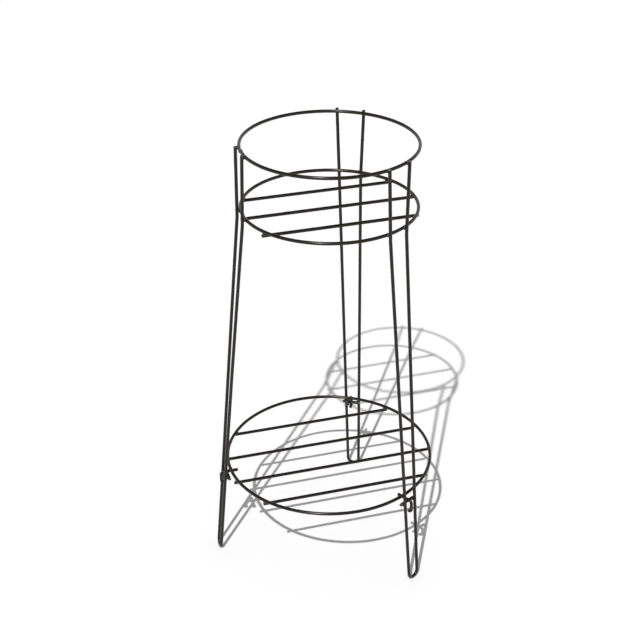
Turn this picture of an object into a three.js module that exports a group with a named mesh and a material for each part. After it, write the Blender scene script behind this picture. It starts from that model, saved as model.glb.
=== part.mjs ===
// A tiered plant stand bent and welded from round steel wire, in millimetres, +Z up.
// Two hoops and three hairpin legs make one rigid frame. The upper hoop collars the pot that
// stands on the bars of the hoop below it. A larger barred shelf hangs near the floor by three
// hooks, which drop over a crossbar on each leg, so it lifts off.

import * as THREE from 'three';

// Wire and its finish
const WIRE_RADIUS = 2.5;
const WIRE_SIDES = 12;
const TOUCH_GAP = 0.3; // left between two wires that touch
const TOUCHING = 2 * WIRE_RADIUS + TOUCH_GAP; // centre to centre of two wires that touch
const CUT_BEVEL = 0.5; // edge knocked off a cut end
const ROD_END = 15; // length at each end of a straight rod that other wires may cross
const STEEL_COLOUR = 0x3b3a38;
const STEEL_ROUGHNESS = 0.42;
const STEEL_METALNESS = 0.85;

// Hoops, to the middle of the wire
const TOP_RING = { radius: 127, height: 677.5, steps: 72 };
const UPPER_RING = { radius: 128, height: 582.5, steps: 72 };
const LOWER_RING = { radius: 161.5, steps: 84 };

// Hairpin legs: two uprights that lie against the outside of both upper hoops
const LEG_TOP = 681; // cut ends of the uprights
const KINK_HEIGHT = 573.5; // where the uprights turn outwards, just under the upper shelf
const TOP_SPACING = 40.6; // between the two uprights, at the top hoop
const KINK_SPACING = 33.6;
const FOOT_SPACING = 18.6;
const FOOT_REACH = 184; // from the stand's axis to the foot
const KINK_BEND = 30;
const FOOT_BEND = 9.1;

// Crossbars, one against the inside of each pair of uprights
const CROSSBAR_HEIGHT = 140.2;
const CROSSBAR_LENGTH = 29;

// Hooks under the lower hoop: a rod pointing outwards, turned down and then back in a little
const HOOK_INNER_END = 149.5;
const HOOK_REACH = 176.5;
const HOOK_DROP = 19.5;
const HOOK_RETURN = 5.5;
const HOOK_SHOULDER_BEND = 5;
const HOOK_TIP_BEND = 3.4;

// The legs as seen from the front. Shifts run along the hoop, anticlockwise from above.
const LEGS = [
  { side: 'left', azimuth: 180, crossbarShift: 1.5, hookShift: 0.5 },
  { side: 'front', azimuth: 300, crossbarShift: -1.5, hookShift: -2.5 },
  { side: 'rear', azimuth: 60, crossbarShift: 1, hookShift: 3.5 },
];

// Shelf bars, welded under their hoop. Each shelf is turned a little on the stand's axis, and a
// bar's place is given across the shelf, with the amount that it is slid along itself.
const UPPER_SHELF_TURN = 1.4;
const UPPER_BARS = [
  { place: 'front', across: -61, length: 229, slide: -3 },
  { place: 'middle', across: 1, length: 261, slide: -1 },
  { place: 'rear', across: 63, length: 229, slide: 5 },
];
const LOWER_SHELF_TURN = 0.6;
const LOWER_BARS = [
  { place: 'front', across: -96.6, length: 264, slide: -1 },
  { place: 'front_middle', across: -32.2, length: 324, slide: -1 },
  { place: 'rear_middle', across: 32.2, length: 322, slide: -4 },
  { place: 'rear', across: 96.6, length: 264, slide: 0 },
];

const BEND_STEP = THREE.MathUtils.degToRad(13); // most that one facet of a bend turns

function steel() {
  return new THREE.MeshStandardMaterial({
    color: STEEL_COLOUR,
    roughness: STEEL_ROUGHNESS,
    metalness: STEEL_METALNESS,
  });
}

function wireMesh(name, geometry) {
  const mesh = new THREE.Mesh(geometry, steel());
  mesh.name = name;
  return mesh;
}

// The wire's round section, with a flat facing along each axis.
function wireSection() {
  const corners = [];
  for (let i = 0; i < WIRE_SIDES; i += 1) {
    const angle = (2 * Math.PI * (i + 0.5)) / WIRE_SIDES;
    corners.push(new THREE.Vector2(WIRE_RADIUS * Math.cos(angle), WIRE_RADIUS * Math.sin(angle)));
  }
  return new THREE.Shape(corners);
}

// A straight cut rod along X, centred on the origin, with a flat facing up. A long rod's flats are
// divided near its ends, so that the middle one is open to what rests on it.
function rodGeometry(length) {
  const half = length / 2;
  const rightHalf = [
    new THREE.Vector2(WIRE_RADIUS, half - CUT_BEVEL),
    new THREE.Vector2(WIRE_RADIUS - CUT_BEVEL, half),
    new THREE.Vector2(0, half),
  ];
  if (half > ROD_END) {
    rightHalf.unshift(new THREE.Vector2(WIRE_RADIUS, half - ROD_END));
  }
  const leftHalf = rightHalf.map((corner) => new THREE.Vector2(corner.x, -corner.y)).reverse();
  const profile = [...leftHalf, ...rightHalf];
  const geometry = new THREE.LatheGeometry(profile, WIRE_SIDES, Math.PI / WIRE_SIDES);
  geometry.rotateZ(-Math.PI / 2);
  return geometry;
}

// The path of a wire with straight runs and round bends. It is stepped by its stations, the ends
// of the runs and the points round each bend, so that a long run takes one step.
class BentWire extends THREE.Curve {
  constructor(corners, bendRadii) {
    super();
    this.stations = [];
    const heading = (from, to) => to.clone().sub(from).normalize();
    const last = corners.length - 1;
    this.addStation(corners[0], heading(corners[0], corners[1]));
    for (let i = 1; i < last; i += 1) {
      const arriving = heading(corners[i - 1], corners[i]);
      const leaving = heading(corners[i], corners[i + 1]);
      this.addBend(corners[i], arriving, leaving, bendRadii[i - 1]);
    }
    this.addStation(corners[last], heading(corners[last - 1], corners[last]));
  }

  addStation(point, tangent) {
    this.stations.push({ point, tangent });
  }

  addBend(corner, arriving, leaving, radius) {
    const turn = arriving.angleTo(leaving);
    const axis = arriving.clone().cross(leaving).normalize();
    const start = corner.clone().addScaledVector(arriving, -radius * Math.tan(turn / 2));
    const spoke = arriving.clone().cross(axis).multiplyScalar(radius); // bend's centre to its start
    const centre = start.clone().sub(spoke);
    const steps = Math.max(1, Math.ceil(turn / BEND_STEP));
    for (let i = 0; i <= steps; i += 1) {
      const angle = (turn * i) / steps;
      const point = spoke.clone().applyAxisAngle(axis, angle).add(centre);
      this.addStation(point, arriving.clone().applyAxisAngle(axis, angle));
    }
  }

  get steps() {
    return this.stations.length - 1;
  }

  getPoint(t, target = new THREE.Vector3()) {
    const place = t * this.steps;
    const index = Math.min(Math.floor(place), this.steps - 1);
    const from = this.stations[index].point;
    const to = this.stations[index + 1].point;
    return target.lerpVectors(from, to, place - index);
  }

  getPointAt(t, target) {
    return this.getPoint(t, target);
  }

  getTangentAt(t, target = new THREE.Vector3()) {
    return target.copy(this.stations[Math.round(t * this.steps)].tangent);
  }
}

function bentWireGeometry(corners, bendRadii) {
  const path = new BentWire(corners, bendRadii);
  return new THREE.ExtrudeGeometry(wireSection(), { steps: path.steps, extrudePath: path });
}

function ringMesh(name, ring, height) {
  const geometry = new THREE.TorusGeometry(ring.radius, WIRE_RADIUS, WIRE_SIDES, ring.steps);
  const mesh = wireMesh(name, geometry);
  mesh.position.z = height;
  return mesh;
}

// How far out the middle of an upright lies where it touches a hoop, for a pair so far apart.
function reachAtHoop(hoopRadius, spacing) {
  return Math.sqrt((hoopRadius + TOUCHING) ** 2 - (spacing / 2) ** 2);
}

// Reach and spacing of a pair of uprights at a height, between two known heights.
function between(lower, upper, height) {
  const share = (height - lower.height) / (upper.height - lower.height);
  return {
    height,
    reach: THREE.MathUtils.lerp(lower.reach, upper.reach, share),
    spacing: THREE.MathUtils.lerp(lower.spacing, upper.spacing, share),
  };
}

// The pair of uprights at the foot, the kink and the top.
const atTopRing = {
  height: TOP_RING.height,
  spacing: TOP_SPACING,
  reach: reachAtHoop(TOP_RING.radius, TOP_SPACING),
};
const kinkShare = (UPPER_RING.height - KINK_HEIGHT) / (TOP_RING.height - KINK_HEIGHT);
const upperRingSpacing = THREE.MathUtils.lerp(KINK_SPACING, TOP_SPACING, kinkShare);
const atUpperRing = {
  height: UPPER_RING.height,
  spacing: upperRingSpacing,
  reach: reachAtHoop(UPPER_RING.radius, upperRingSpacing),
};
const atTop = between(atUpperRing, atTopRing, LEG_TOP);
const atKink = between(atUpperRing, atTopRing, KINK_HEIGHT);
const atFoot = { height: WIRE_RADIUS, spacing: FOOT_SPACING, reach: FOOT_REACH };

// One wire: down an upright, round the foot and up the other. It faces along +X.
function legMesh(leg) {
  const stops = [atTop, atKink, atFoot];
  const down = stops.map((at) => new THREE.Vector3(at.reach, at.spacing / 2, at.height));
  const up = stops.map((at) => new THREE.Vector3(at.reach, -at.spacing / 2, at.height)).reverse();
  const bendRadii = [KINK_BEND, FOOT_BEND, FOOT_BEND, KINK_BEND];
  return wireMesh(`leg_${leg.side}`, bentWireGeometry([...down, ...up], bendRadii));
}

function crossbarMesh(leg) {
  const uprights = between(atFoot, atKink, CROSSBAR_HEIGHT);
  const mesh = wireMesh(`crossbar_${leg.side}`, rodGeometry(CROSSBAR_LENGTH));
  mesh.rotation.z = Math.PI / 2;
  mesh.position.set(uprights.reach - TOUCHING, leg.crossbarShift, CROSSBAR_HEIGHT);
  return mesh;
}

function hookMesh(leg, height) {
  const corner = (reach, drop) => new THREE.Vector3(reach, leg.hookShift, height - drop);
  const corners = [
    corner(HOOK_INNER_END, 0),
    corner(HOOK_REACH, 0),
    corner(HOOK_REACH, HOOK_DROP),
    corner(HOOK_REACH - HOOK_RETURN, HOOK_DROP),
  ];
  return wireMesh(`hook_${leg.side}`, bentWireGeometry(corners, [HOOK_SHOULDER_BEND, HOOK_TIP_BEND]));
}

// What belongs to one leg is built facing along +X and turned to the leg's place.
function facing(leg, ...meshes) {
  const group = new THREE.Group();
  group.rotation.z = THREE.MathUtils.degToRad(leg.azimuth);
  group.add(...meshes);
  return group;
}

function shelfBars(prefix, bars, turn, height) {
  const shelf = new THREE.Group();
  shelf.rotation.z = THREE.MathUtils.degToRad(turn);
  for (const bar of bars) {
    const mesh = wireMesh(`${prefix}_bar_${bar.place}`, rodGeometry(bar.length));
    mesh.position.set(bar.slide, bar.across, height);
    shelf.add(mesh);
  }
  return shelf;
}

function frame() {
  const group = new THREE.Group();
  group.add(ringMesh('top_ring', TOP_RING, TOP_RING.height));
  group.add(ringMesh('upper_ring', UPPER_RING, UPPER_RING.height));
  group.add(shelfBars('upper', UPPER_BARS, UPPER_SHELF_TURN, UPPER_RING.height - TOUCHING));
  for (const leg of LEGS) {
    group.add(facing(leg, legMesh(leg), crossbarMesh(leg)));
  }
  return group;
}

// The hooks rest on the crossbars, and the bars lie level with the hooks, under the hoop.
function lowerShelf() {
  const hookHeight = CROSSBAR_HEIGHT + TOUCHING;
  const group = new THREE.Group();
  group.add(ringMesh('lower_ring', LOWER_RING, hookHeight + TOUCHING));
  group.add(shelfBars('lower', LOWER_BARS, LOWER_SHELF_TURN, hookHeight));
  for (const leg of LEGS) {
    group.add(facing(leg, hookMesh(leg, hookHeight)));
  }
  return group;
}

// The origin is on the floor, at the middle of the whole stand's outline.
function plantStand() {
  const stand = new THREE.Group();
  stand.add(frame(), lowerShelf());
  stand.updateMatrixWorld(true);
  const box = new THREE.Box3().setFromObject(stand, true);
  const middle = box.getCenter(new THREE.Vector3());
  stand.position.set(-middle.x, -middle.y, -box.min.z);
  return stand;
}

export default plantStand();
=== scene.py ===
"""A tiered plant stand of round steel wire with a satin black finish, in a plain white studio.

Lengths are in metres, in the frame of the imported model: the floor is z = 0 and +Z is up. Every wire
of the model is replaced by a fine round one that lies on the same line, and each crossing where two
wires are welded gets a bead that fills the corners between them.
"""

import math

import bpy
import numpy as np
from mathutils import Matrix, Vector


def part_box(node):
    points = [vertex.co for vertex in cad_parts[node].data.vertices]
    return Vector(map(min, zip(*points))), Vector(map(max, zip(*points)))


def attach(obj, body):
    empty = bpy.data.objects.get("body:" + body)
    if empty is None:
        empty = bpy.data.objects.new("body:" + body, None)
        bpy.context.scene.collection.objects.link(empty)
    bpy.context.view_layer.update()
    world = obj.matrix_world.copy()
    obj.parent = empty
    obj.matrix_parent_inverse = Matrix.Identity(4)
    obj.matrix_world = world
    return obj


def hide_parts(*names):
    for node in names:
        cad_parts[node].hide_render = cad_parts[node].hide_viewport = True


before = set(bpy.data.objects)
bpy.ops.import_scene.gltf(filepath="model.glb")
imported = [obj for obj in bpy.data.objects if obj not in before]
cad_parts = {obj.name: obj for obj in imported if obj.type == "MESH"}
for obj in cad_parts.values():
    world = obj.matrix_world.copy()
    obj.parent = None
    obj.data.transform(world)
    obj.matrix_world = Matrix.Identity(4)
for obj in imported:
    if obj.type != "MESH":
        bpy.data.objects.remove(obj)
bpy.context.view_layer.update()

# Wire. The model's wire has a faceted section of the nominal radius to its corners, and the round
# wire is a hair thinner, so that it stays inside the model's outline.
NOMINAL_RADIUS = 0.0025
WIRE_RADIUS = 0.00249
WIRE_SIDES = 32
RUN_STEP = 0.010  # between rings of vertices on a straight run
BEND_STEP = math.radians(3.0)  # most that one ring turns from the next in a bend
BEND_FLATTENING = 0.16  # loss of thickness in a bend, times wire radius over bend radius
HOOP_STEP = 0.0016  # between rings of vertices on a hoop
UPRIGHT_START = 0.1  # sine of the tilt under which a wire counts as starting upright
SEED = 7

# Hairpin legs: heights, and how far apart the two uprights are. The reach is from the stand's axis,
# and every bend is given by its radius.
TOUCHING = 2 * NOMINAL_RADIUS + 0.0003  # centre to centre of two wires that touch
TOP_HEIGHT = 0.6775  # of the top hoop
LEG_TOP = 0.681
KINK_HEIGHT = 0.5735
TOP_SPACING = 0.0406
KINK_SPACING = 0.0336
FOOT_SPACING = 0.0186
FOOT_REACH = 0.18388  # a hair short of the model's, whose foot is faceted
KINK_BEND = 0.030
FOOT_BEND = 0.0091
LEG_AZIMUTHS = {"left": 180, "front": 300, "rear": 60}

# Small traits of this hand-made stand. An upright is named by its leg and its side, 1 or -1.
SHORT_UPRIGHTS = {("left", -1): 0.0022}  # by how much it is cut under the others
BOWED_UPRIGHTS = {("left", 1): (0.26, 0.0012)}  # at what height it bows outwards, by how much
BOW_BEND = 16.0
ROD_FORWARDS = (1.0, 0.3, 0.0)  # a rod is taken to run this way: towards +X, or +Y across it
LONGER_BARS = {  # by how much at the -X end and at the +X end
    "upper_bar_front": (0.0, 0.0025),
    "upper_bar_rear": (0.0023, 0.0),
}

# Hooks: a rod under the lower hoop, turned down and back in, with its reach from the stand's axis
HOOK_INNER_END = 0.1495
HOOK_REACH = 0.1765
HOOK_DROP = 0.0195
HOOK_RETURN = 0.0055
HOOK_SHOULDER_BEND = 0.005
HOOK_TIP_BEND = 0.0034

# Cut ends
END_ROUNDING = (0.00035, 0.0009)  # least and most
END_TILT = math.radians(4.0)  # most that a cut leans
END_TILT_SHARES = (0.2, 1.0)  # least and most of that lean
END_RINGS = 5
END_FLAT_RINGS = (0.75, 0.4)  # radii of the rings on the cut face, as shares of its own
END_WEAR = [0.15, 0.5, 0.9, 1.0, 0.9, 0.7, 0.45, 0.35]  # ring by ring, from the side inwards
END_MIDDLE_WEAR = 0.35
END_CLEARANCE = 0.001  # from the rings of a cut end to the next ring of the wire

# The butt joint of each hoop lies between the uprights of the left leg, and its ends don't quite
# meet: one lies further out, and higher or lower, than the other.
SEAMS = {  # azimuth in degrees, step outwards, step upwards
    "top_ring": (178.8, -0.0011, 0.0003),
    "upper_ring": (180.6, 0.0004, -0.0005),
    "lower_ring": (180.6, -0.0003, 0.0005),
}
SEAM_SETTLE = 0.010  # length over which the hoop comes back to its circle
SEAM_LENGTH = 0.0003
SEAM_COLLAR = 0.00042  # height of the bead round the joint
SEAM_COLLAR_WIDTH = 0.0011
SEAM_RINGS = (0, 0.3, 0.6, 1, 1.5, 2.2, 3, 4)  # places of the rings on each side, in half widths
SEAM_WEAR = 0.85

# Weld beads
UPRIGHT_FILL = 0.0050  # how far the corner fills between an upright and what is welded to it
BAR_FILL = 0.0046
BEAD_REACH = 0.0062  # a bead fades out this far from the crossing
BEAD_CELL = 0.00034
BEAD_SINK = (0.00003, 0.0004)  # how far under the wires a bead lies at the crossing and at its rim
BEAD_EDGE = 0.0007  # rounding of a cut end where a bead meets it
BEAD_SHORT = 0.0004  # how far a bead stays behind a cut end
BEAD_WEAR = 0.35
BEAD_REFINEMENTS = 3  # times that the vertices are moved onto the exact surface
BEAD_NUDGE = 0.05  # distance over which its slope is taken, in cells
BEAD_LEAST_SLOPE = 0.25  # squared, so that no vertex is thrown far where slopes are slight
RIPPLE_HEIGHT = 0.00010
RIPPLE_WAVES = 6
RIPPLE_PITCH = 1400.0  # radians per metre
RIPPLE_SUM = 4  # about the most that the waves add up to

# Finish: a thin dark coat that clouds between two tones, and the steel that shows where it is worn.
# Noises are (scale, detail, roughness), tones (position, colour) and bumps (strength, distance).
CLOUD_NOISE = (55.0, 4.0, 0.5)
SPECKLE_NOISE = (900.0, 3.0, 0.6)
PITTING_NOISE = (1500.0, 2.0, 0.5)
DRAWN_NOISE = (2600.0, 2.0, 0.5)
DRAWN_STRETCH = (0.02, 1.0, 1.0)  # drawn out along the wire
COAT_TONES = [(0.3, (0.0070, 0.0047, 0.0024)), (0.7, (0.0106, 0.0072, 0.0038))]
COAT_ROUGHNESS = ((0.3, 0.7), (0.21, 0.27))  # from the speckle's range to the coat's
COAT_SPECULAR = 0.32
COAT_TINT = (1.0, 0.95, 0.88, 1.0)
STEEL_TONES = [(0.35, (0.10, 0.095, 0.088)), (0.65, (0.20, 0.19, 0.175))]
STEEL_METALLIC = 0.8
RUBBED_PATCHES = ((0.42, 0.62), (0.35, 1.0))  # from the speckle's range to shares of the wear
DRAWN_BUMP = (0.14, 0.00003)
PITTING_BUMP = (0.16, 0.00004)

# Camera and light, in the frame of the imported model
CAMERA_PLACE = (-0.46471, -1.62923, 1.34685)
CAMERA_HEADING = math.radians(-15.820)  # anticlockwise from +Y, seen from above
CAMERA_PITCH = math.radians(29.3563)  # below the horizon
CAMERA_ROLL = math.radians(-0.1068)
CAMERA_LENS = 72.5
CAMERA_SENSOR = 36.0
CAMERA_CLIP = (0.05, 100.0)
SUN_TRAVEL = (0.4267, 0.7030, -1.0)
SUN_STRENGTH = 3.05
SUN_ANGLE = math.radians(0.62)
SKY_STRENGTH = 0.34
WALL_HEIGHT = (0.26, 0.60)  # z of a direction, at the wall's end and where the ceiling starts
WALL_BRIGHTNESS = (1.0, 0.15)
FLOOR_ALBEDO = 0.93
FLOOR_ROUGHNESS = 0.9
FLOOR_SIZE = 30.0


def unit(vector):
    return np.asarray(vector, float) / np.linalg.norm(vector)


def vertices_of(node):
    """Vertices of one of the model's nodes, as rows."""
    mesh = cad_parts[node].data
    flat = np.empty(3 * len(mesh.vertices))
    mesh.vertices.foreach_get("co", flat)
    places = flat.reshape(-1, 3)
    matrix = np.array(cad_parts[node].matrix_world)
    return places @ matrix[:3, :3].T + matrix[:3, 3]


# ---------------------------------------------------------------- what the model says


class Hoop:
    """A horizontal circle of wire, measured from a node of the model."""

    def __init__(self, node):
        low, high = (np.array(corner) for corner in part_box(node))
        self.centre = (low + high) / 2
        self.radius = (high[0] - low[0]) / 2 - NOMINAL_RADIUS

    def distance(self, places):
        """Distance of points from the surface of the wire, negative inside it."""
        offset = places - self.centre
        out = np.hypot(offset[:, 0], offset[:, 1]) - self.radius
        return np.hypot(out, offset[:, 2]) - WIRE_RADIUS


class Rod:
    """A straight wire with cut ends, between two points on its axis."""

    def __init__(self, start, end):
        self.start = np.asarray(start, float)
        self.end = np.asarray(end, float)
        self.along = unit(self.end - self.start)
        self.length = np.linalg.norm(self.end - self.start)

    @classmethod
    def from_node(cls, node):
        places = vertices_of(node)
        middle = (places.min(0) + places.max(0)) / 2
        direction = np.linalg.svd(places - middle, full_matrices=False)[2][0]
        direction = direction * np.sign(direction @ ROD_FORWARDS)
        half = np.abs((places - middle) @ direction).max()
        longer_start, longer_end = LONGER_BARS.get(node, (0.0, 0.0))
        start = middle - direction * (half + longer_start)
        return cls(start, middle + direction * (half + longer_end))

    def distance(self, places):
        """Distance of points from the surface of the wire, whose ends are taken a little short."""
        offset = places - self.start
        along = offset @ self.along
        out = np.linalg.norm(offset - along[:, None] * self.along, axis=1) - WIRE_RADIUS + BEAD_EDGE
        past = np.maximum(-along, along - self.length) + BEAD_SHORT + BEAD_EDGE
        outside = np.hypot(np.maximum(out, 0.0), np.maximum(past, 0.0))
        return outside + np.minimum(np.maximum(out, past), 0.0) - BEAD_EDGE


top_hoop = Hoop("top_ring")
upper_hoop = Hoop("upper_ring")
lower_hoop = Hoop("lower_ring")
AXIS = np.array([top_hoop.centre[0], top_hoop.centre[1], 0.0])
GROUND = top_hoop.centre[2] - TOP_HEIGHT  # added to heights, since the model was set on the floor


def turned(azimuth, reach, side, height):
    """A point of the stand, given as it lies when its leg faces along +X."""
    angle = math.radians(azimuth)
    out = np.array([math.cos(angle), math.sin(angle), 0.0])
    across = np.array([-math.sin(angle), math.cos(angle), 0.0])
    return AXIS + out * reach + across * side + np.array([0.0, 0.0, height + GROUND])


def reach_at_hoop(hoop, spacing):
    """Reach of two uprights, this far apart, that touch a hoop from outside."""
    return math.sqrt((hoop.radius + TOUCHING) ** 2 - (spacing / 2) ** 2)


def between(lower, upper, height):
    """(height, reach, spacing) of the uprights at a height, on the line through two known ones."""
    share = (height - lower[0]) / (upper[0] - lower[0])
    return tuple(a + (b - a) * share for a, b in zip(lower, upper))


UPPER_HEIGHT = upper_hoop.centre[2] - GROUND
upper_share = (UPPER_HEIGHT - KINK_HEIGHT) / (TOP_HEIGHT - KINK_HEIGHT)
UPPER_SPACING = KINK_SPACING + (TOP_SPACING - KINK_SPACING) * upper_share
at_top_hoop = (TOP_HEIGHT, reach_at_hoop(top_hoop, TOP_SPACING), TOP_SPACING)
at_upper_hoop = (UPPER_HEIGHT, reach_at_hoop(upper_hoop, UPPER_SPACING), UPPER_SPACING)
at_kink = between(at_upper_hoop, at_top_hoop, KINK_HEIGHT)
at_foot = (WIRE_RADIUS - GROUND, FOOT_REACH, FOOT_SPACING)


def top_of(leg, side):
    """(height, reach, spacing) of the cut end of one upright. side is 1 or -1."""
    return between(at_upper_hoop, at_top_hoop, LEG_TOP - SHORT_UPRIGHTS.get((leg, side), 0.0))


def stops_of(leg, side):
    """(height, reach, spacing) along one upright, from its cut end down to the foot."""
    stops = [top_of(leg, side), at_kink]
    if (leg, side) in BOWED_UPRIGHTS:
        height, bow = BOWED_UPRIGHTS[leg, side]
        _, reach, spacing = between(at_foot, at_kink, height)
        stops.append((height, reach + bow, spacing))
    return [*stops, at_foot]


def on_upright(leg, side, stops):
    """Points of the stand at stops along one upright."""
    azimuth = LEG_AZIMUTHS[leg]
    return [turned(azimuth, reach, side * spacing / 2, z) for z, reach, spacing in stops]


# ---------------------------------------------------------------- wires as meshes


class Path:
    """The line of a wire: places, headings, and how the wire is flattened where it is bent."""

    def __init__(self):
        self.places = []
        self.headings = []
        self.squeezes = []

    def add(self, place, heading, squeeze=(0.0, 0.0, 0.0)):
        self.places.append(place)
        self.headings.append(heading)
        self.squeezes.append(np.asarray(squeeze, float))

    def run_to(self, place, heading):
        """A straight run from the last place, in steps."""
        start = self.places[-1]
        steps = max(1, round(np.linalg.norm(place - start) / RUN_STEP))
        for i in range(1, steps + 1):
            self.add(start + (place - start) * i / steps, heading)


def bent_path(corners, bend_radii):
    """Straight runs between the corners, with a round bend at each inner corner."""
    path = Path()
    path.add(corners[0], unit(corners[1] - corners[0]))
    for i in range(1, len(corners) - 1):
        arriving = unit(corners[i] - corners[i - 1])
        leaving = unit(corners[i + 1] - corners[i])
        radius = bend_radii[i - 1]
        turn = math.acos(float(arriving @ leaving))
        start = corners[i] - arriving * radius * math.tan(turn / 2)
        inwards = unit(leaving - arriving * (arriving @ leaving))
        path.run_to(start, arriving)
        steps = math.ceil(turn / BEND_STEP)
        for k in range(1, steps + 1):
            angle = turn * k / steps
            spoke = inwards * math.cos(angle) - arriving * math.sin(angle)
            place = start + (inwards - spoke) * radius
            heading = arriving * math.cos(angle) + inwards * math.sin(angle)
            easing = math.sin(math.pi * k / steps) ** 0.5
            flattening = BEND_FLATTENING * WIRE_RADIUS / radius * easing
            path.add(place, heading, spoke * flattening)
    path.run_to(corners[-1], path.headings[-1])
    return path


def section_frames(headings):
    """Two directions across the wire at each place, carried along without twist."""
    first = np.cross(headings[0], (0.0, 0.0, 1.0))
    if np.linalg.norm(first) < UPRIGHT_START:
        first = np.cross(headings[0], (0.0, 1.0, 0.0))
    sideways = unit(first)
    frames = []
    for heading in headings:
        sideways = unit(sideways - heading * (sideways @ heading))
        frames.append((sideways, np.cross(heading, sideways)))
    return frames


def section(place, across, upwards, radius, squeeze=np.zeros(3)):
    """A ring of vertices round the wire, thinner along squeeze by its length as a share."""
    angles = 2 * math.pi * np.arange(WIRE_SIDES) / WIRE_SIDES
    ring = radius * (np.cos(angles)[:, None] * across + np.sin(angles)[:, None] * upwards)
    thinning = np.linalg.norm(squeeze)
    if thinning > 0:
        direction = squeeze / thinning
        ring = ring - thinning * (ring @ direction)[:, None] * direction
    return place + ring


def cut_end(place, outwards, across, upwards, random):
    """Rings of vertices from the side of a wire round to the middle of its cut end.

    Returns the rings, the middle of the cut face and the length that the rings take up.
    """
    rounding = random.uniform(*END_ROUNDING)
    lean = math.tan(random.uniform(*END_TILT_SHARES) * END_TILT)
    lean_angle = random.uniform(0, 2 * math.pi)
    lean_direction = math.cos(lean_angle) * across + math.sin(lean_angle) * upwards
    rings = []
    profile = []
    for k in range(END_RINGS + 1):
        angle = (k / END_RINGS) * math.pi / 2
        radius = WIRE_RADIUS - rounding * (1 - math.cos(angle))
        profile.append((radius, rounding * (1 - math.sin(angle))))
    profile += [((WIRE_RADIUS - rounding) * share, 0.0) for share in END_FLAT_RINGS]
    for radius, inset in profile:
        ring = section(place, across, upwards, radius)
        cut_back = inset + lean * (WIRE_RADIUS - (ring - place) @ lean_direction)
        rings.append(ring - cut_back[:, None] * outwards)
    middle = place - lean * WIRE_RADIUS * outwards
    return rings, middle, rounding + 2 * lean * WIRE_RADIUS


def join_rings(count, closed):
    """Faces between consecutive rings of WIRE_SIDES vertices."""
    faces = []
    for ring in range(count if closed else count - 1):
        here = ring * WIRE_SIDES
        there = (ring + 1) % count * WIRE_SIDES
        for i in range(WIRE_SIDES):
            j = (i + 1) % WIRE_SIDES
            faces.append((here + i, here + j, there + j, there + i))
    return faces


def mesh_object(name, vertices, faces, grain, wear, material):
    """A smooth object with the two attributes that its finish reads."""
    mesh = bpy.data.meshes.new(name)
    mesh.from_pydata([tuple(v) for v in vertices], [], faces)
    mesh.polygons.foreach_set("use_smooth", [True] * len(mesh.polygons))
    attribute = mesh.attributes.new("grain", "FLOAT_VECTOR", "POINT")
    attribute.data.foreach_set("vector", np.asarray(grain, float).ravel())
    attribute = mesh.attributes.new("wear", "FLOAT", "POINT")
    attribute.data.foreach_set("value", np.asarray(wear, float))
    mesh.materials.append(material)
    mesh.validate()
    piece = bpy.data.objects.new(name, mesh)
    bpy.context.scene.collection.objects.link(piece)
    return piece


def grain_of(ring, place, across, upwards, travelled):
    """Where vertices lie in the wire's own terms: along it, then across it two ways."""
    offset = ring - place
    return np.column_stack([np.full(len(ring), travelled), offset @ across, offset @ upwards])


def open_wire(name, path, material, random):
    """A wire with two cut ends."""
    frames = section_frames(path.headings)
    rings, grain, wear = [], [], []

    def add(ring, place, frame_here, travelled, worn):
        rings.append(ring)
        grain.append(grain_of(ring, place, *frame_here, travelled))
        wear.append(np.full(len(ring), worn))

    start_rings, start_middle, start_length = cut_end(
        path.places[0], -path.headings[0], *frames[0], random
    )
    end_rings, end_middle, end_length = cut_end(
        path.places[-1], path.headings[-1], *frames[-1], random
    )
    for ring, worn in zip(reversed(start_rings), reversed(END_WEAR)):
        add(ring, path.places[0], frames[0], 0.0, worn)
    steps = np.linalg.norm(np.diff(path.places, axis=0), axis=1)
    travelled = np.concatenate([[0.0], np.cumsum(steps)])
    for i, place in enumerate(path.places):
        if i == 0:
            place = place + path.headings[0] * (start_length + END_CLEARANCE)
        if i == len(path.places) - 1:
            place = place - path.headings[-1] * (end_length + END_CLEARANCE)
        ring = section(place, *frames[i], WIRE_RADIUS, path.squeezes[i])
        add(ring, place, frames[i], travelled[i], 0.0)
    for ring, worn in zip(end_rings, END_WEAR):
        add(ring, path.places[-1], frames[-1], travelled[-1], worn)

    vertices = np.concatenate(rings)
    faces = join_rings(len(rings), closed=False)
    first, last = len(vertices), len(vertices) + 1
    tail = (len(rings) - 1) * WIRE_SIDES
    for i in range(WIRE_SIDES):
        j = (i + 1) % WIRE_SIDES
        faces.append((first, j, i))
        faces.append((last, tail + i, tail + j))
    vertices = np.vstack([vertices, start_middle, end_middle])
    grain = np.vstack([*grain, (0.0, 0.0, 0.0), (travelled[-1], 0.0, 0.0)])
    wear = np.concatenate([*wear, [END_MIDDLE_WEAR, END_MIDDLE_WEAR]])
    return mesh_object(name, vertices, faces, grain, wear, material)


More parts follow.
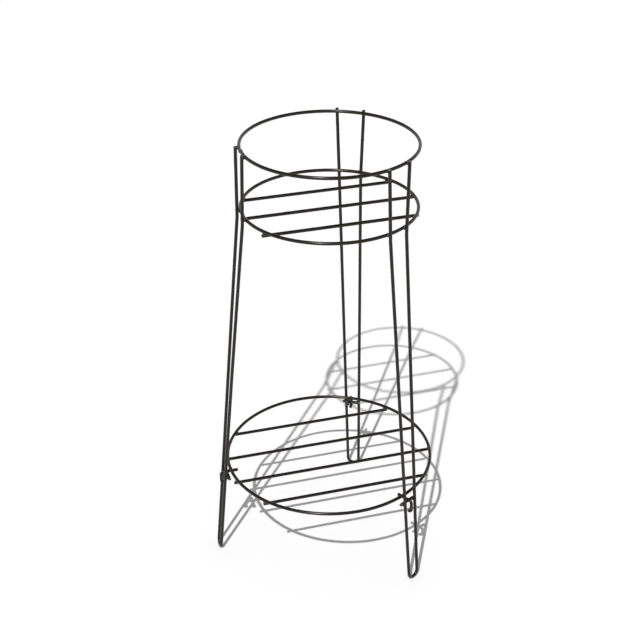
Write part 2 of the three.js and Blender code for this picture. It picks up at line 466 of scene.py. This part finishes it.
def hoop_wire(name, hoop, material, seam):
    """A closed hoop with a butt joint, whose two ends miss each other a little.

    The seam is half way along the list of rings, where more of them stand close together.
    """
    azimuth, step_out, step_up = seam
    count = round(2 * math.pi * hoop.radius / HOOP_STEP)
    travel = np.arange(count) / count * 2 * math.pi * hoop.radius
    beside = np.array(SEAM_RINGS) * SEAM_COLLAR_WIDTH / 2
    fine = np.concatenate([-beside[:0:-1], beside])
    near = np.abs(travel - travel.mean()) <= (fine[-1] + HOOP_STEP / 2)
    travel = np.sort(np.concatenate([travel[~near], travel.mean() + fine]))
    rings, grain, wear = [], [], []
    for distance in travel:
        from_seam = distance - travel.mean()
        angle = math.radians(azimuth) + from_seam / hoop.radius
        outwards = np.array([math.cos(angle), math.sin(angle), 0.0])
        upwards = np.array([0.0, 0.0, 1.0])
        side = math.exp(-abs(from_seam) / SEAM_SETTLE) * math.tanh(from_seam / SEAM_LENGTH) / 2
        closeness = math.exp(-((from_seam / SEAM_COLLAR_WIDTH) ** 2))
        reach = hoop.radius + step_out * side
        place = hoop.centre + outwards * reach + upwards * step_up * side
        ring = section(place, -outwards, upwards, WIRE_RADIUS + SEAM_COLLAR * closeness)
        rings.append(ring)
        wear.append(np.full(len(ring), SEAM_WEAR * closeness))
        grain.append(grain_of(ring, place, -outwards, upwards, distance))
    vertices = np.concatenate(rings)
    faces = [face[::-1] for face in join_rings(len(rings), closed=True)]
    return mesh_object(name, vertices, faces, np.vstack(grain), np.concatenate(wear), material)


# ---------------------------------------------------------------- weld beads


def surface_net(values, low, cell):
    """Closed quad mesh where a grid of values passes zero, with the negative values inside."""
    inside = values < 0
    cells = tuple(n - 1 for n in values.shape)

    def corner(array, dx, dy, dz):
        return array[dx : dx + cells[0], dy : dy + cells[1], dz : dz + cells[2]]

    corners = [(x, y, z) for x in (0, 1) for y in (0, 1) for z in (0, 1)]
    filled = sum(corner(inside, *c).astype(int) for c in corners)
    mixed = (filled > 0) & (filled < 8)
    total = np.zeros(cells + (3,))
    crossings = np.zeros(cells)
    for a in corners:
        for axis in range(3):
            if a[axis]:
                continue
            b = tuple(1 if i == axis else a[i] for i in range(3))
            value_a, value_b = corner(values, *a), corner(values, *b)
            crossed = (value_a < 0) != (value_b < 0)
            share = np.where(crossed, value_a / np.where(crossed, value_a - value_b, 1.0), 0.0)
            for i in range(3):
                position = a[i] + (share if i == axis else 0.0)
                total[..., i] += np.where(crossed, position, 0.0)
            crossings += crossed
    index = -np.ones(cells, int)
    index[mixed] = np.arange(mixed.sum())
    where = np.argwhere(mixed)
    vertices = low + cell * (where + total[mixed] / crossings[mixed][:, None])
    faces = []
    for axis in range(3):
        ahead = np.roll(inside, -1, axis)
        flip = inside != ahead
        flip[tuple(slice(-1, None) if i == axis else slice(None) for i in range(3))] = False
        u, v = (axis + 1) % 3, (axis + 2) % 3
        for point in np.argwhere(flip):
            around = []
            for du, dv in ((-1, -1), (0, -1), (0, 0), (-1, 0)):
                neighbour = point.copy()
                neighbour[u] += du
                neighbour[v] += dv
                around.append(index[tuple(neighbour)])
            if not inside[tuple(point)]:
                around.reverse()
            faces.append(tuple(int(i) for i in around))
    return vertices, faces


def ripple(places, random):
    """A smooth random unevenness, between about -1 and 1."""
    total = np.zeros(len(places))
    for _ in range(RIPPLE_WAVES):
        wave = random.normal(size=3) * RIPPLE_PITCH
        total += np.sin(places @ wave + random.uniform(0, 2 * math.pi))
    return total / RIPPLE_SUM


def bead(wire_a, wire_b, centre, fill, random):
    """Vertices, faces and wear of the bead where two wires are welded.

    It fills the corner where points lie about as far from one wire as from the other, to within
    fill, and fades out away from the crossing.
    """
    phase = random.integers(1 << 30)

    def field(places):
        a, b = wire_a.distance(places), wire_b.distance(places)
        away = np.linalg.norm(places - centre, axis=1)
        fading = np.clip(1 - (away / BEAD_REACH) ** 2, 1e-4, 1)
        blend = np.maximum(fill * fading - np.abs(a - b), 0.0) / (fill * fading)
        uneven = RIPPLE_HEIGHT * ripple(places - centre, np.random.default_rng(phase))
        sink = BEAD_SINK[0] + (BEAD_SINK[1] - BEAD_SINK[0]) * (1 - fading) ** 3
        joined = np.minimum(a, b) - blend**2 * (fill / 4 + uneven) * fading + sink
        return np.maximum(joined, away - BEAD_REACH)

    half = math.ceil(BEAD_REACH / BEAD_CELL) + 2
    steps = np.arange(-half, half + 1) * BEAD_CELL
    grid = np.stack(np.meshgrid(steps, steps, steps, indexing="ij"), axis=-1)
    places = centre + grid.reshape(-1, 3)
    values = field(places).reshape(grid.shape[:3])
    vertices, faces = surface_net(values, centre - half * BEAD_CELL, BEAD_CELL)
    nudge = BEAD_CELL * BEAD_NUDGE
    for _ in range(BEAD_REFINEMENTS):
        rises = [field(vertices + d) - field(vertices - d) for d in np.eye(3) * nudge]
        slope = np.stack(rises, 1) / (2 * nudge)
        steep = np.maximum((slope**2).sum(1), BEAD_LEAST_SLOPE)
        step = np.clip(field(vertices) / steep, -BEAD_CELL / 2, BEAD_CELL / 2)
        vertices = vertices - step[:, None] * slope
    close = 1 - np.clip(np.linalg.norm(vertices - centre, axis=1) / BEAD_REACH, 0, 1)
    return vertices, faces, BEAD_WEAR * close


def bead_object(name, crossings, material, random):
    """All the beads of one group, as one piece. Each crossing is (wire, wire, centre, fill)."""
    vertices, faces, wear = [], [], []
    offset = 0
    for crossing in crossings:
        bead_vertices, bead_faces, bead_wear = bead(*crossing, random)
        vertices.append(bead_vertices)
        faces += [tuple(i + offset for i in face) for face in bead_faces]
        wear.append(bead_wear)
        offset += len(bead_vertices)
    vertices = np.vstack(vertices)
    return mesh_object(name, vertices, faces, vertices, np.concatenate(wear), material)


def hoop_crossings(hoop, rod):
    """The two places where a straight rod passes under or over a hoop, midway between the wires."""
    start = rod.start - hoop.centre
    direction = rod.along
    b = start[:2] @ direction[:2]
    c = start[:2] @ start[:2] - hoop.radius**2
    root = math.sqrt(b * b - c)
    halfway_up = np.array([0, 0, -start[2] / 2])
    return [rod.start + direction * t + halfway_up for t in (-b - root, -b + root)]


# ---------------------------------------------------------------- finishes


def new_material(name):
    material = bpy.data.materials.new(name)
    material.use_nodes = True
    nodes = material.node_tree.nodes
    return material, nodes, material.node_tree.links, nodes["Principled BSDF"]


def noise(nodes, links, vector, scale, detail, roughness):
    texture = nodes.new("ShaderNodeTexNoise")
    texture.inputs["Scale"].default_value = scale
    texture.inputs["Detail"].default_value = detail
    texture.inputs["Roughness"].default_value = roughness
    links.new(vector, texture.inputs["Vector"])
    return texture.outputs["Fac"]


def ramp(nodes, links, value, stops):
    """A colour ramp between two stops, each a position and a colour."""
    node = nodes.new("ShaderNodeValToRGB")
    for element, (position, colour) in zip(node.color_ramp.elements, stops):
        element.position = position
        element.color = (*colour, 1.0)
    links.new(value, node.inputs["Fac"])
    return node.outputs["Color"]


def map_range(nodes, links, value, source, target):
    node = nodes.new("ShaderNodeMapRange")
    node.inputs["From Min"].default_value, node.inputs["From Max"].default_value = source
    node.inputs["To Min"].default_value, node.inputs["To Max"].default_value = target
    links.new(value, node.inputs["Value"])
    return node.outputs["Result"]


def bump(nodes, links, height, strength, distance):
    node = nodes.new("ShaderNodeBump")
    node.inputs["Strength"].default_value = strength
    node.inputs["Distance"].default_value = distance
    links.new(height, node.inputs["Height"])
    return node


def maths(nodes, links, operation, a, b):
    node = nodes.new("ShaderNodeMath")
    node.operation = operation
    node.use_clamp = True
    for socket, value in zip(node.inputs, (a, b)):
        if isinstance(value, (int, float)):
            socket.default_value = value
        else:
            links.new(value, socket)
    return node.outputs["Value"]


def satin_black_steel(name):
    """Thin satin black coating on drawn steel wire, rubbed through on sharp edges."""
    material, nodes, links, shader = new_material(name)
    place = nodes.new("ShaderNodeTexCoord").outputs["Object"]
    grain = nodes.new("ShaderNodeAttribute")
    grain.attribute_name = "grain"
    worn = nodes.new("ShaderNodeAttribute")
    worn.attribute_name = "wear"

    cloud = noise(nodes, links, place, *CLOUD_NOISE)
    speckle = noise(nodes, links, place, *SPECKLE_NOISE)
    pits = noise(nodes, links, place, *PITTING_NOISE)
    stretch = nodes.new("ShaderNodeVectorMath")
    stretch.operation = "MULTIPLY"
    stretch.inputs[1].default_value = DRAWN_STRETCH
    links.new(grain.outputs["Vector"], stretch.inputs[0])
    drawn = noise(nodes, links, stretch.outputs["Vector"], *DRAWN_NOISE)

    coat = ramp(nodes, links, cloud, COAT_TONES)
    patchy = map_range(nodes, links, speckle, *RUBBED_PATCHES)
    rubbed = maths(nodes, links, "MULTIPLY", worn.outputs["Fac"], patchy)
    steel = ramp(nodes, links, drawn, STEEL_TONES)
    colour = nodes.new("ShaderNodeMix")
    colour.data_type = "RGBA"
    links.new(rubbed, colour.inputs["Factor"])
    links.new(coat, colour.inputs["A"])
    links.new(steel, colour.inputs["B"])
    links.new(colour.outputs["Result"], shader.inputs["Base Color"])
    metal = maths(nodes, links, "MULTIPLY", rubbed, STEEL_METALLIC)
    links.new(metal, shader.inputs["Metallic"])
    roughness = map_range(nodes, links, speckle, *COAT_ROUGHNESS)
    links.new(roughness, shader.inputs["Roughness"])
    shader.inputs["Specular IOR Level"].default_value = COAT_SPECULAR
    shader.inputs["Specular Tint"].default_value = COAT_TINT

    streaks = bump(nodes, links, drawn, *DRAWN_BUMP)
    pitting = bump(nodes, links, pits, *PITTING_BUMP)
    links.new(streaks.outputs["Normal"], pitting.inputs["Normal"])
    links.new(pitting.outputs["Normal"], shader.inputs["Normal"])
    return material


# ---------------------------------------------------------------- the stand


def dressed(piece, body, slot, *nodes):
    """Says which body a piece rides on and the nodes that it replaces; its slot is not used."""
    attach(piece, body)
    if nodes:
        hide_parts(*nodes)
    return piece


frame_finish = satin_black_steel("satin_black_frame")
shelf_finish = satin_black_steel("satin_black_shelf")
random = np.random.default_rng(SEED)

HOOPS = {
    "top_ring": (top_hoop, "frame"),
    "upper_ring": (upper_hoop, "frame"),
    "lower_ring": (lower_hoop, "lower_shelf"),
}
FINISHES = {"frame": (frame_finish, "frame_wire"), "lower_shelf": (shelf_finish, "shelf_wire")}
UPPER_BARS = ["upper_bar_front", "upper_bar_middle", "upper_bar_rear"]
LOWER_BARS = [
    "lower_bar_front",
    "lower_bar_front_middle",
    "lower_bar_rear_middle",
    "lower_bar_rear",
]


def add_wire(node, path, body):
    finish, slot = FINISHES[body]
    return dressed(open_wire(f"{node}_wire", path, finish, random), body, slot, node)


def rod_path(rod):
    path = Path()
    path.add(rod.start, rod.along)
    path.run_to(rod.end, rod.along)
    return path


def leg_path(leg):
    corners, bends = [], []
    for side in (1, -1):
        stops = stops_of(leg, side)
        corners.append(on_upright(leg, side, stops))
        bends.append([KINK_BEND, *[BOW_BEND] * (len(stops) - 3), FOOT_BEND])
    return bent_path([*corners[0], *reversed(corners[1])], [*bends[0], *reversed(bends[1])])


def hook_side(node, azimuth):
    """How far a hook lies beside the middle of its leg."""
    angle = math.radians(azimuth)
    sideways = (vertices_of(node) - AXIS) @ np.array([-math.sin(angle), math.cos(angle), 0.0])
    return (sideways.min() + sideways.max()) / 2


def hook_corners(node, azimuth):
    side = hook_side(node, azimuth)
    height = lower_hoop.centre[2] - GROUND - TOUCHING
    outline = [
        (HOOK_INNER_END, height),
        (HOOK_REACH, height),
        (HOOK_REACH, height - HOOK_DROP),
        (HOOK_REACH - HOOK_RETURN, height - HOOK_DROP),
    ]
    return [turned(azimuth, reach, side, z) for reach, z in outline]


rods = {node: Rod.from_node(node) for node in UPPER_BARS + LOWER_BARS}
for leg in LEG_AZIMUTHS:
    rods[f"crossbar_{leg}"] = Rod.from_node(f"crossbar_{leg}")

for node, (hoop, body) in HOOPS.items():
    finish, slot = FINISHES[body]
    dressed(hoop_wire(f"{node}_wire", hoop, finish, SEAMS[node]), body, slot, node)
for node, rod in rods.items():
    add_wire(node, rod_path(rod), "lower_shelf" if node in LOWER_BARS else "frame")
for leg, azimuth in LEG_AZIMUTHS.items():
    add_wire(f"leg_{leg}", leg_path(leg), "frame")
    corners = hook_corners(f"hook_{leg}", azimuth)
    add_wire(f"hook_{leg}", bent_path(corners, [HOOK_SHOULDER_BEND, HOOK_TIP_BEND]), "lower_shelf")


def upright_crossings(hoop, at_hoop, fill):
    """Where the six uprights lie against the outside of a hoop."""
    crossings = []
    for leg in LEG_AZIMUTHS:
        for side in (1, -1):
            rod = Rod(*on_upright(leg, side, (at_kink, top_of(leg, side))))
            place = on_upright(leg, side, [at_hoop])[0]
            outwards = unit((place - hoop.centre) * np.array([1, 1, 0]))
            crossings.append((hoop, rod, place - outwards * TOUCHING / 2, fill))
    return crossings


def crossbar_crossings(fill):
    """Where each crossbar lies against the inner side of its leg's two uprights."""
    crossings = []
    for leg, azimuth in LEG_AZIMUTHS.items():
        bar = rods[f"crossbar_{leg}"]
        height = bar.start[2] - GROUND
        for side in (1, -1):
            above, below = stops_of(leg, side)[-2:]
            _, reach, spacing = between(below, above, height)
            rod = Rod(*on_upright(leg, side, (below, above)))
            middle = turned(azimuth, reach - TOUCHING / 2, side * spacing / 2, height)
            crossings.append((bar, rod, middle, fill))
    return crossings


def bar_crossings(hoop, bars, fill):
    """Where bars lie under a hoop, at both ends of each."""
    places = [(rods[bar], place) for bar in bars for place in hoop_crossings(hoop, rods[bar])]
    return [(hoop, rod, place, fill) for rod, place in places]


def hook_crossings(fill):
    """Where each hook lies under the lower hoop."""
    crossings = []
    for leg, azimuth in LEG_AZIMUTHS.items():
        corners = hook_corners(f"hook_{leg}", azimuth)
        rod = Rod(corners[0], corners[1])
        crossings.append((lower_hoop, rod, hoop_crossings(lower_hoop, rod)[1], fill))
    return crossings


WELDS = [
    ("top_ring_welds", "frame", upright_crossings(top_hoop, at_top_hoop, UPRIGHT_FILL)),
    ("upper_ring_welds", "frame", upright_crossings(upper_hoop, at_upper_hoop, UPRIGHT_FILL)),
    ("upper_bar_welds", "frame", bar_crossings(upper_hoop, UPPER_BARS, BAR_FILL)),
    ("crossbar_welds", "frame", crossbar_crossings(UPRIGHT_FILL)),
    ("lower_bar_welds", "lower_shelf", bar_crossings(lower_hoop, LOWER_BARS, BAR_FILL)),
    ("hook_welds", "lower_shelf", hook_crossings(BAR_FILL)),
]
for name, body, crossings in WELDS:
    finish, slot = FINISHES[body]
    dressed(bead_object(name, crossings, finish, random), body, slot)


# ---------------------------------------------------------------- floor, light and camera


def floor():
    mesh = bpy.data.meshes.new("floor")
    half = FLOOR_SIZE / 2
    corners = [(-half, -half, 0), (half, -half, 0), (half, half, 0), (-half, half, 0)]
    mesh.from_pydata(corners, [], [(0, 1, 2, 3)])
    material, _, _, shader = new_material("white_floor")
    shader.inputs["Base Color"].default_value = (FLOOR_ALBEDO, FLOOR_ALBEDO, FLOOR_ALBEDO, 1.0)
    shader.inputs["Roughness"].default_value = FLOOR_ROUGHNESS
    shader.inputs["Specular IOR Level"].default_value = 0.0
    mesh.materials.append(material)
    piece = bpy.data.objects.new("floor", mesh)
    bpy.context.scene.collection.objects.link(piece)


def sky():
    """An even light on everything. Seen or mirrored, it is a white wall under a darker ceiling."""
    world = bpy.data.worlds.new("studio")
    world.use_nodes = True
    nodes, links = world.node_tree.nodes, world.node_tree.links
    light = nodes["Background"]
    light.inputs["Strength"].default_value = SKY_STRENGTH
    light.inputs["Color"].default_value = (1.0, 1.0, 1.0, 1.0)
    seen = nodes.new("ShaderNodeBackground")
    rise = nodes.new("ShaderNodeSeparateXYZ")
    links.new(nodes.new("ShaderNodeTexCoord").outputs["Generated"], rise.inputs[0])
    wall = map_range(nodes, links, rise.outputs["Z"], WALL_HEIGHT, WALL_BRIGHTNESS)
    links.new(wall, seen.inputs["Strength"])
    seen.inputs["Color"].default_value = (1.0, 1.0, 1.0, 1.0)
    path = nodes.new("ShaderNodeLightPath")
    direct = path.outputs["Is Camera Ray"]
    for ray in ("Is Glossy Ray", "Is Transmission Ray"):
        direct = maths(nodes, links, "MAXIMUM", direct, path.outputs[ray])
    mix = nodes.new("ShaderNodeMixShader")
    links.new(direct, mix.inputs["Fac"])
    links.new(light.outputs["Background"], mix.inputs[1])
    links.new(seen.outputs["Background"], mix.inputs[2])
    links.new(mix.outputs["Shader"], nodes["World Output"].inputs["Surface"])
    bpy.context.scene.world = world


def sun():
    lamp = bpy.data.lights.new("sun", "SUN")
    lamp.energy = SUN_STRENGTH
    lamp.angle = SUN_ANGLE
    holder = bpy.data.objects.new("sun", lamp)
    holder.rotation_mode = "QUATERNION"
    holder.rotation_quaternion = Vector(SUN_TRAVEL).to_track_quat("-Z", "Y")
    bpy.context.scene.collection.objects.link(holder)


def camera():
    right = np.array([math.cos(CAMERA_HEADING), math.sin(CAMERA_HEADING), 0.0])
    level = np.array([-math.sin(CAMERA_HEADING), math.cos(CAMERA_HEADING), 0.0])
    ahead = level * math.cos(CAMERA_PITCH) - np.array([0.0, 0.0, math.sin(CAMERA_PITCH)])
    upwards = np.cross(right, ahead)
    right, upwards = (
        right * math.cos(CAMERA_ROLL) + upwards * math.sin(CAMERA_ROLL),
        upwards * math.cos(CAMERA_ROLL) - right * math.sin(CAMERA_ROLL),
    )
    lens = bpy.data.cameras.new("camera")
    lens.lens = CAMERA_LENS
    lens.sensor_width = CAMERA_SENSOR
    lens.clip_start, lens.clip_end = CAMERA_CLIP
    holder = bpy.data.objects.new("camera", lens)
    turn = Matrix(np.column_stack([right, upwards, -ahead]).tolist())
    holder.matrix_world = Matrix.Translation(CAMERA_PLACE) @ turn.to_4x4()
    bpy.context.scene.collection.objects.link(holder)
    bpy.context.scene.camera = holder


floor()
sky()
sun()
camera()
bpy.context.scene.view_settings.view_transform = "Standard"
